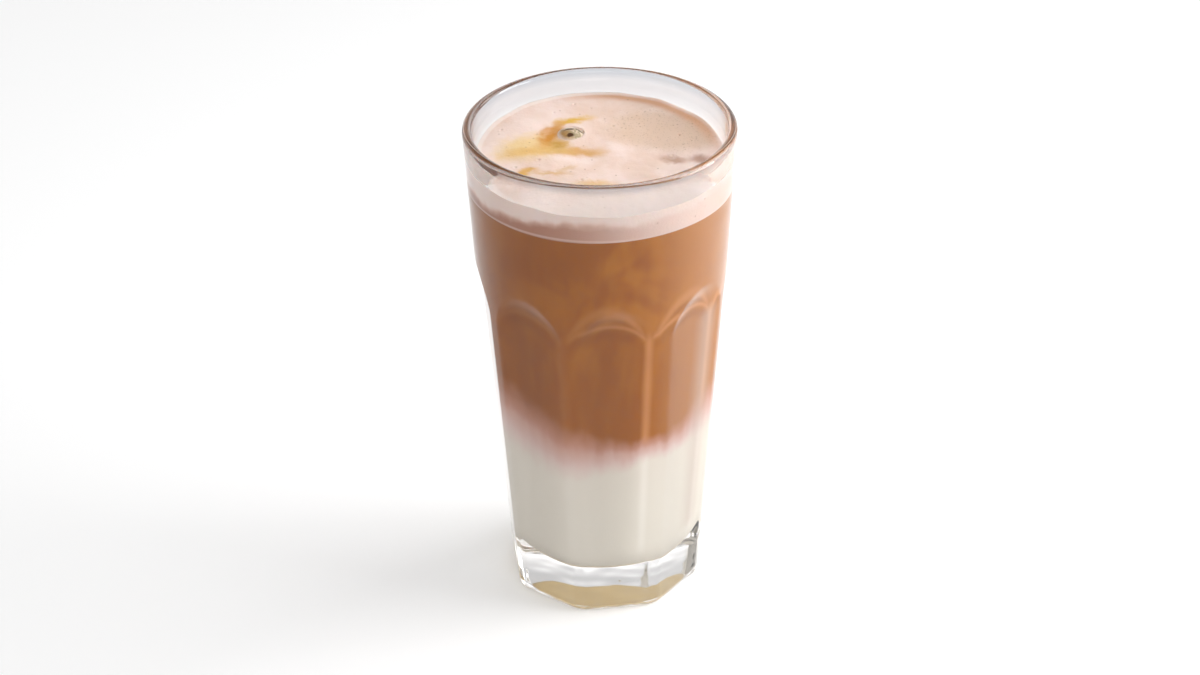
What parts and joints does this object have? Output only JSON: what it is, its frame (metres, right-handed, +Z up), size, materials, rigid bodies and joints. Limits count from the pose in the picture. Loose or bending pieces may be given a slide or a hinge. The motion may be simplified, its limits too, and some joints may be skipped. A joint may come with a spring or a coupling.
{
  "type": "iced mocha in a glass",
  "caption": "Iced milk coffee in a tall tumbler, round at the mouth and panelled below, with layers of milk and coffee under foam and the tip of an ice cube.",
  "frame": {"origin": "middle of the tumbler's foot, on the surface that it stands on", "axes": "+Z up along the tumbler's axis, -Y out of the middle of one of the panels"},
  "size_m": [0.0818, 0.0818, 0.155],
  "materials": {
    "clear_glass": "clear pressed glass, polished and smooth",
    "milk": "opaque cold milk seen through the glass",
    "milk_coffee": "milky coffee, opaque warm brown",
    "milk_foam": "fine milk foam with coffee stains, soft and matt",
    "ice": "wet clear ice"
  },
  "bodies": {
    "root": {"glass": "clear_glass", "milk": "milk", "coffee": "milk_coffee", "foam": "milk_foam", "ice": "ice"}
  },
  "joints": []
}
